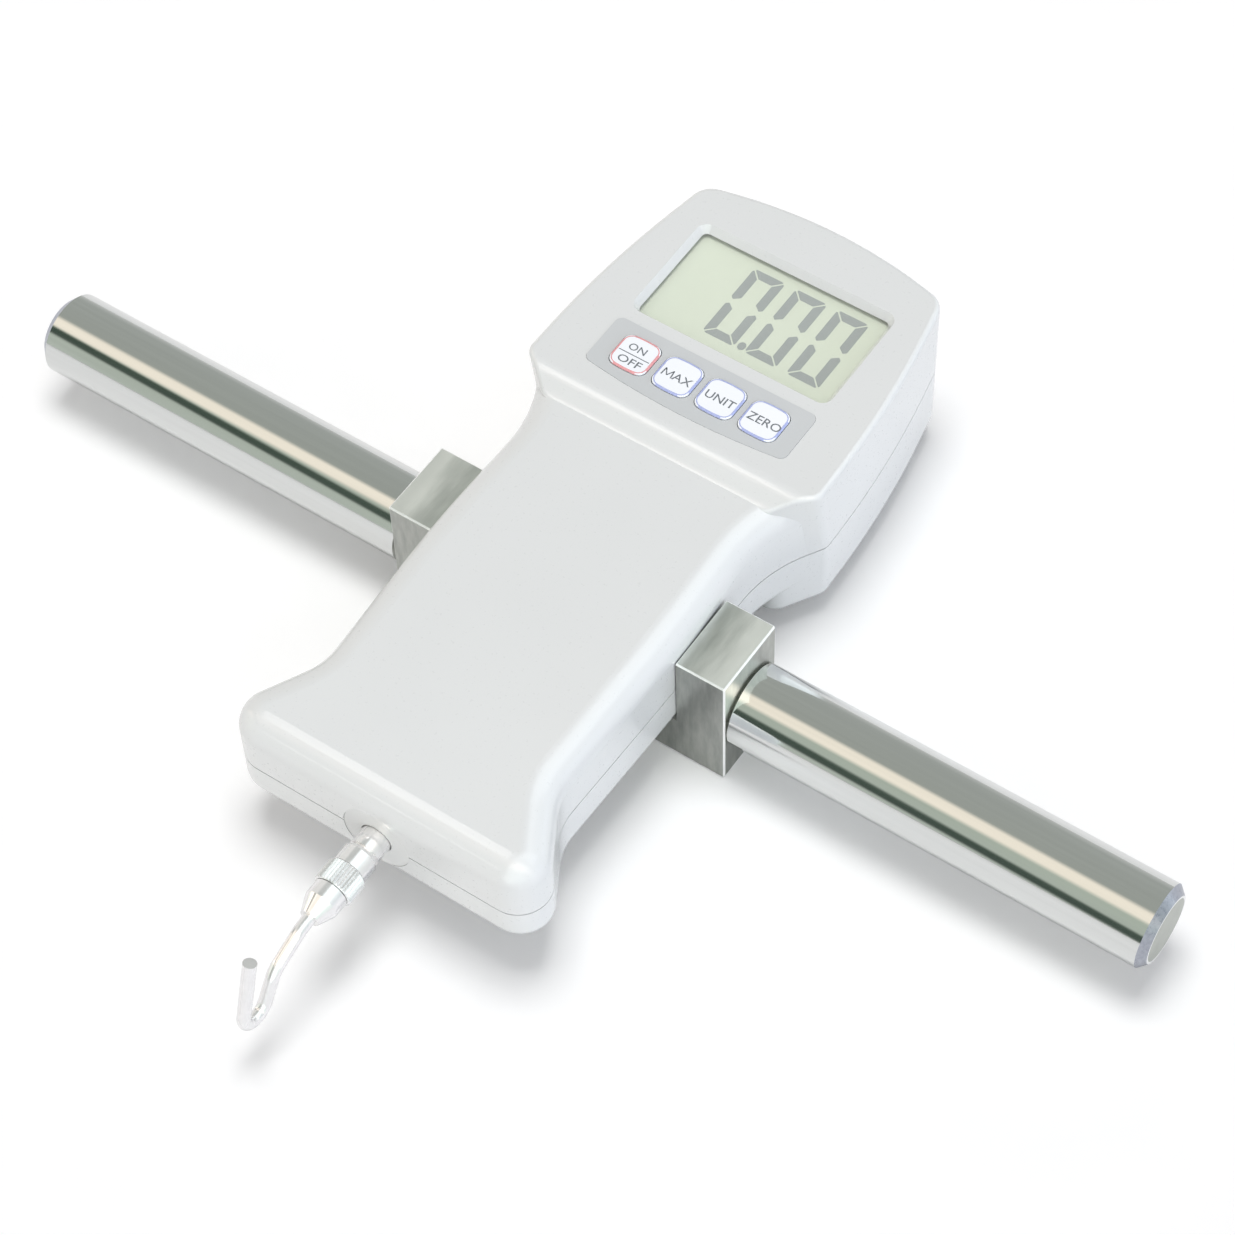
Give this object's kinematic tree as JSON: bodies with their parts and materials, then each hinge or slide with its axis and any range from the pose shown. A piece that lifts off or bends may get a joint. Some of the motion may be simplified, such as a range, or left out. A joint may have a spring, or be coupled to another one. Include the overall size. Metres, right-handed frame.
{
  "type": "force gauge",
  "caption": "Handheld digital force gauge with a display head, waisted grip, spindle with hook, and a two-handed bar handle bracket.",
  "frame": {"origin": "centre of the handle bracket's underside, on which the instrument lies", "axes": "+X towards the right-hand handle, +Y from the nose towards the display end, +Z out of the display"},
  "size_m": [0.3146, 0.2421, 0.05],
  "materials": {
    "housing": "smooth light grey moulding",
    "screw_steel": "machined steel fasteners",
    "window": "clear window",
    "lcd": "pale green-grey liquid-crystal panel",
    "inner_plastic": "black moulding",
    "keypad": "satin grey panel",
    "key_red": "pale key with a soft red outline",
    "key_plain": "pale key with a soft violet outline",
    "silicone": "silicone domes",
    "board": "green circuit board",
    "cell_wrap": "wrapped cells",
    "spring_steel": "plated steel",
    "sensor_aluminium": "milled aluminium",
    "bright_steel": "polished bright steel",
    "disc": "light grey disc",
    "knurled_steel": "straight-knurled bright steel",
    "bracket_steel": "fine-brushed stainless steel",
    "handle_steel": "polished stainless bar with brushed ends"
  },
  "bodies": {
    "housing": {"front_shell": "housing", "rear_shell": "housing", "housing_screws": "screw_steel", "display_window": "window", "lcd_panel": "lcd", "lcd_frame": "inner_plastic", "keypad_panel": "keypad", "dome_power": "silicone", "dome_max": "silicone", "dome_unit": "silicone", "dome_zero": "silicone", "main_board": "board", "board_screws": "screw_steel", "battery_cells": "cell_wrap", "battery_contacts": "spring_steel", "battery_cover": "housing", "cover_screws": "screw_steel", "load_cell": "sensor_aluminium", "load_cell_anchor": "sensor_aluminium", "anchor_screws": "screw_steel", "stop_plate": "spring_steel", "nose_disc": "disc", "handle_bracket": "bracket_steel", "bracket_screws": "screw_steel", "handle_left": "handle_steel", "handle_right": "handle_steel", "handle_studs": "screw_steel"},
    "key_power": {"key_power": "key_red"},
    "key_max": {"key_max": "key_plain"},
    "key_unit": {"key_unit": "key_plain"},
    "key_zero": {"key_zero": "key_plain"},
    "spindle": {"spindle": "bright_steel", "coupling_collar": "bright_steel", "stop_nut": "screw_steel"},
    "knurled_nut": {"knurled_nut": "knurled_steel"},
    "hook": {"hook_socket": "bright_steel", "hook": "bright_steel"}
  },
  "joints": [
    {"name": "key_power_press", "type": "slide", "parent": "housing", "child": "key_power", "axis": [0, 0, -1], "range_m": [0, 0.00035], "stiffness_N_per_m": 2000, "springref_m": -0.0002, "deforming": ["dome_power"]},
    {"name": "key_max_press", "type": "slide", "parent": "housing", "child": "key_max", "axis": [0, 0, -1], "range_m": [0, 0.00035], "stiffness_N_per_m": 2000, "springref_m": -0.0002, "deforming": ["dome_max"]},
    {"name": "key_unit_press", "type": "slide", "parent": "housing", "child": "key_unit", "axis": [0, 0, -1], "range_m": [0, 0.00035], "stiffness_N_per_m": 2000, "springref_m": -0.0002, "deforming": ["dome_unit"]},
    {"name": "key_zero_press", "type": "slide", "parent": "housing", "child": "key_zero", "axis": [0, 0, -1], "range_m": [0, 0.00035], "stiffness_N_per_m": 2000, "springref_m": -0.0002, "deforming": ["dome_zero"]},
    {"name": "spindle_load", "type": "slide", "parent": "housing", "child": "spindle", "axis": [0, 1, 0], "range_m": [-0.0003, 0.0003], "stiffness_N_per_m": 30000},
    {"name": "knurled_nut_turn", "type": "hinge", "parent": "spindle", "child": "knurled_nut", "pos_m": [0, -0.095, 0.0259], "axis": [0, 1, 0], "continuous": true},
    {"name": "hook_swivel", "type": "hinge", "parent": "spindle", "child": "hook", "pos_m": [0, -0.105, 0.0259], "axis": [0, 1, 0], "continuous": true}
  ]
}
